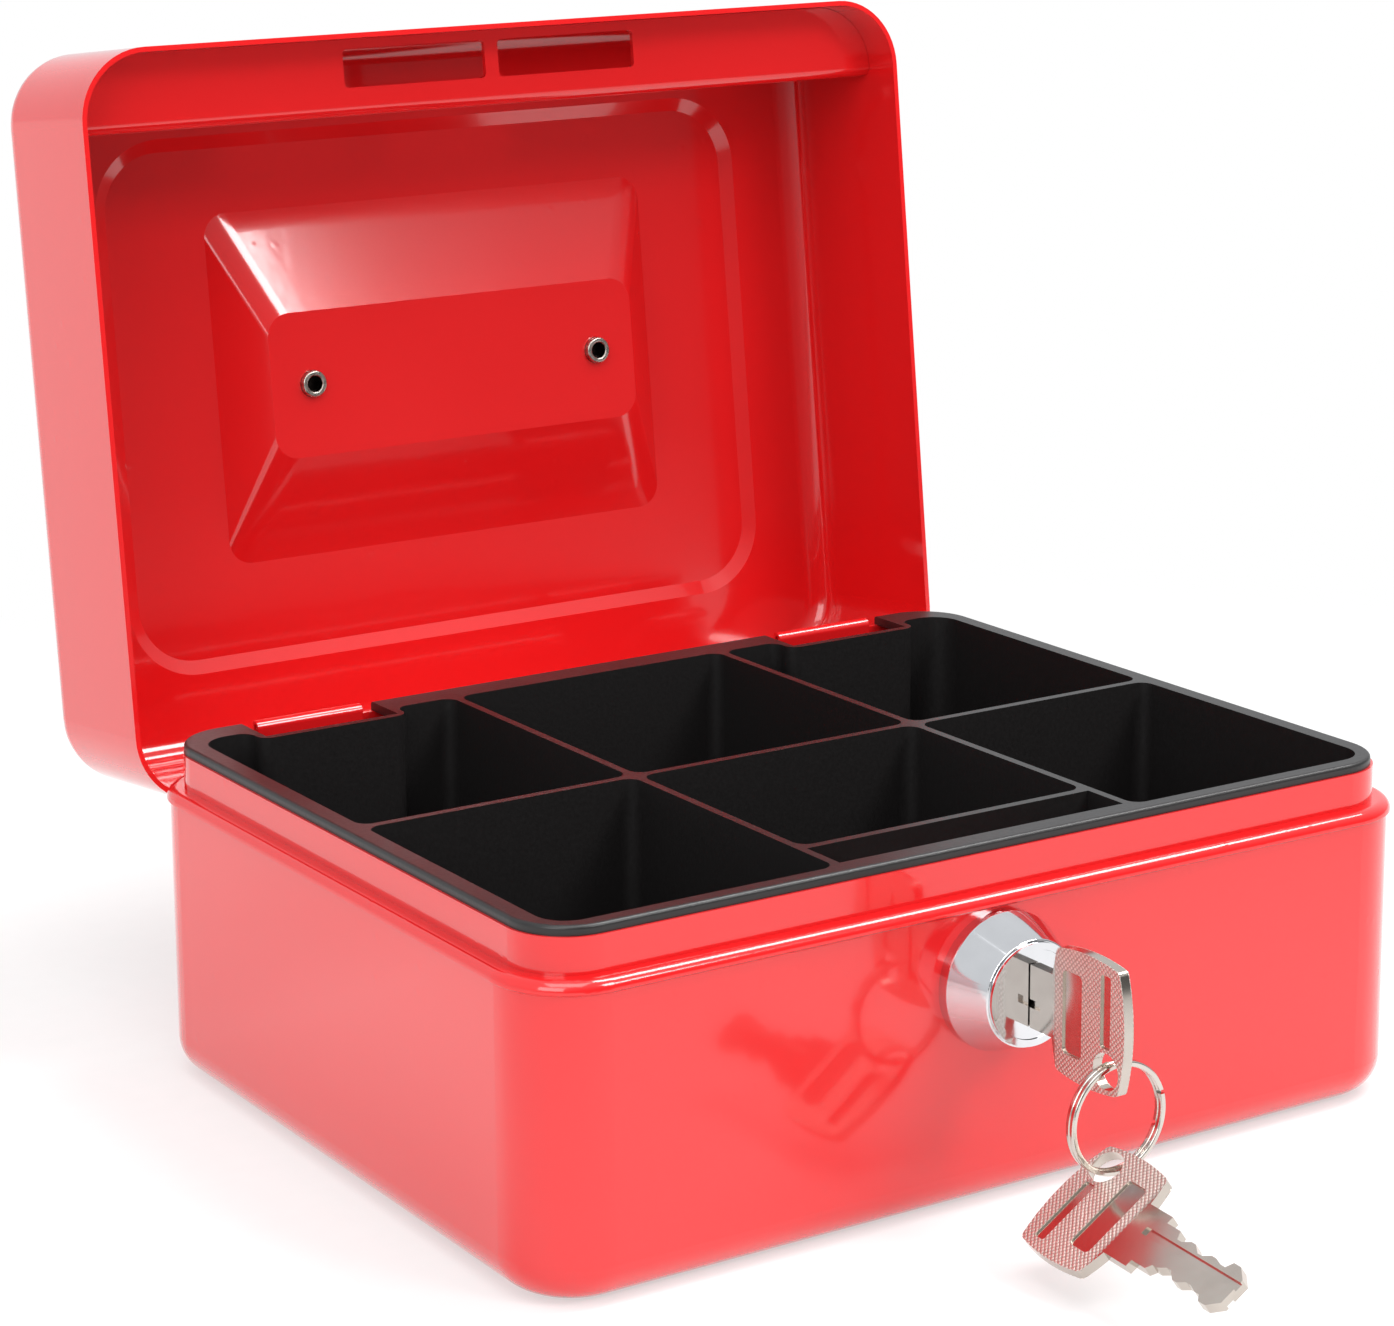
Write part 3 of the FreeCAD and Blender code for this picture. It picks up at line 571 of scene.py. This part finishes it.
# White paper: a matt sheet with a faint fibre. The lens and the glossy pieces see it burnt
# out to white away from the box, and reflections from far ahead of the box are dimmer.
def make_paper():
    material, tree = start_material("white_table_paper")
    place = put(tree, "ShaderNodeTexCoord").outputs["Object"]
    fibre = put(
        tree,
        "ShaderNodeTexNoise",
        {"Vector": place, "Scale": 1 / paper_fibre_size, "Detail": 2.0},
    )
    tone = put(
        tree,
        "ShaderNodeMix",
        {"Factor": fibre.outputs["Fac"], "A": linear("#EEEEED"), "B": linear("#F3F3F2")},
        data_type="RGBA",
    )
    sheet = put(
        tree,
        "ShaderNodeBsdfPrincipled",
        {"Base Color": tone.outputs["Result"], "Roughness": 0.9, "Specular IOR Level": 0.1},
    )
    reach = put(tree, "ShaderNodeVectorMath", {0: place}, operation="LENGTH")
    burnt = put(
        tree,
        "ShaderNodeMapRange",
        {
            "Value": reach.outputs["Value"],
            "From Min": shadow_reach,
            "From Max": white_from,
            "To Min": 0.55,
            "To Max": 1.0,
        },
        interpolation_type="SMOOTHSTEP",
    )
    ahead = put(tree, "ShaderNodeSeparateXYZ", {"Vector": place}).outputs["Y"]
    far = put(
        tree,
        "ShaderNodeMapRange",
        {
            "Value": ahead,
            "From Min": dim_from,
            "From Max": dim_to,
            "To Min": 1.0,
            "To Max": 0.15,
        },
        interpolation_type="SMOOTHSTEP",
    )
    rays = put(tree, "ShaderNodeLightPath").outputs
    strength = put(
        tree,
        "ShaderNodeMath",
        {0: rays["Is Camera Ray"], 1: far.outputs["Result"]},
        operation="MAXIMUM",
    )
    glare = put(
        tree,
        "ShaderNodeEmission",
        {"Color": linear("#FFFFFF"), "Strength": strength.outputs["Value"]},
    )
    seen_or_mirrored = put(
        tree,
        "ShaderNodeMath",
        {0: rays["Is Camera Ray"], 1: rays["Is Glossy Ray"]},
        operation="MAXIMUM",
    )
    seen = put(
        tree,
        "ShaderNodeMath",
        {0: seen_or_mirrored.outputs["Value"], 1: rays["Is Transmission Ray"]},
        operation="MAXIMUM",
    )
    share = put(
        tree,
        "ShaderNodeMath",
        {0: seen.outputs["Value"], 1: burnt.outputs["Result"]},
        operation="MULTIPLY",
    )
    surface = put(
        tree,
        "ShaderNodeMixShader",
        {0: share.outputs["Value"], 1: sheet.outputs["BSDF"], 2: glare.outputs["Emission"]},
    )
    put(tree, "ShaderNodeOutputMaterial", {"Surface": surface.outputs["Shader"]})
    return material


paper_mesh = bmesh.new()
bmesh.ops.create_grid(paper_mesh, x_segments=1, y_segments=1, size=paper_half_side)
paper_data = bpy.data.meshes.new("table_paper")
paper_mesh.to_mesh(paper_data)
paper_mesh.free()
paper_data.materials.append(make_paper())
paper = bpy.data.objects.new("table_paper", paper_data)
bpy.context.collection.objects.link(paper)


def add_soft_light(name, place, target_height, width, height, watts):
    """Add a soft box that points at the box's middle, at one height above the table."""
    lamp = bpy.data.lights.new(name, "AREA")
    lamp.shape = "RECTANGLE"
    lamp.size = width
    lamp.size_y = height
    lamp.energy = watts
    lamp_object = bpy.data.objects.new(name, lamp)
    aim = Vector((0, 0, target_height)) - Vector(place)
    lamp_object.rotation_euler = aim.to_track_quat("-Z", "Y").to_euler()
    lamp_object.location = place
    bpy.context.collection.objects.link(lamp_object)


add_soft_light(
    "right_overhead_soft_light",
    place=(0.80, -0.25, 1.5),
    target_height=0.05,
    width=0.5,
    height=0.9,
    watts=18,
)
add_soft_light(
    "left_overhead_soft_light",
    place=(-0.35, -0.5, 1.5),
    target_height=0.05,
    width=1.0,
    height=1.0,
    watts=9,
)
add_soft_light(
    "front_left_soft_light",
    place=(-1.2, -0.9, 0.8),
    target_height=0.05,
    width=0.9,
    height=0.9,
    watts=8,
)
add_soft_light(
    "front_right_soft_light",
    place=(0.64, -1.3, 1.1),
    target_height=0.08,
    width=0.45,
    height=0.5,
    watts=10,
)

# The room: a pale ceiling and backdrop, and a dim side behind the lens.
brightest_way = (-0.20, 0.62, 0.76)
world = bpy.data.worlds.new("studio_air")
bpy.context.scene.world = world
world.use_nodes = True
air_tree = world.node_tree
air_tree.nodes.clear()
look = put(air_tree, "ShaderNodeTexCoord").outputs["Generated"]
facing = put(
    air_tree, "ShaderNodeVectorMath", {0: look, 1: brightest_way}, operation="DOT_PRODUCT"
)
fall = put(
    air_tree,
    "ShaderNodeMapRange",
    {
        "Value": facing.outputs["Value"],
        "From Min": -0.65,
        "From Max": 0.5,
        "To Min": 0.12,
        "To Max": 0.95,
    },
    interpolation_type="SMOOTHSTEP",
)
air = put(
    air_tree,
    "ShaderNodeBackground",
    {"Color": linear("#EEF0F2"), "Strength": fall.outputs["Result"]},
)
put(air_tree, "ShaderNodeOutputWorld", {"Surface": air.outputs["Background"]})

# The camera: fitted to the straight edges of the base and the lid.
camera_turn_degrees = (77.758, 0.859, -31.107)
camera_data = bpy.data.cameras.new("photo_camera")
camera_data.sensor_width = 36.0
camera_data.lens = 95.708
camera_data.shift_x = 0.11165
camera_data.shift_y = -0.11287
camera_data.clip_end = 50.0
camera = bpy.data.objects.new("photo_camera", camera_data)
camera.location = (-0.304448, -0.442558, 0.205874)
camera.rotation_euler = [math.radians(angle) for angle in camera_turn_degrees]
bpy.context.collection.objects.link(camera)
bpy.context.scene.camera = camera
bpy.context.scene.view_settings.view_transform = "Standard"
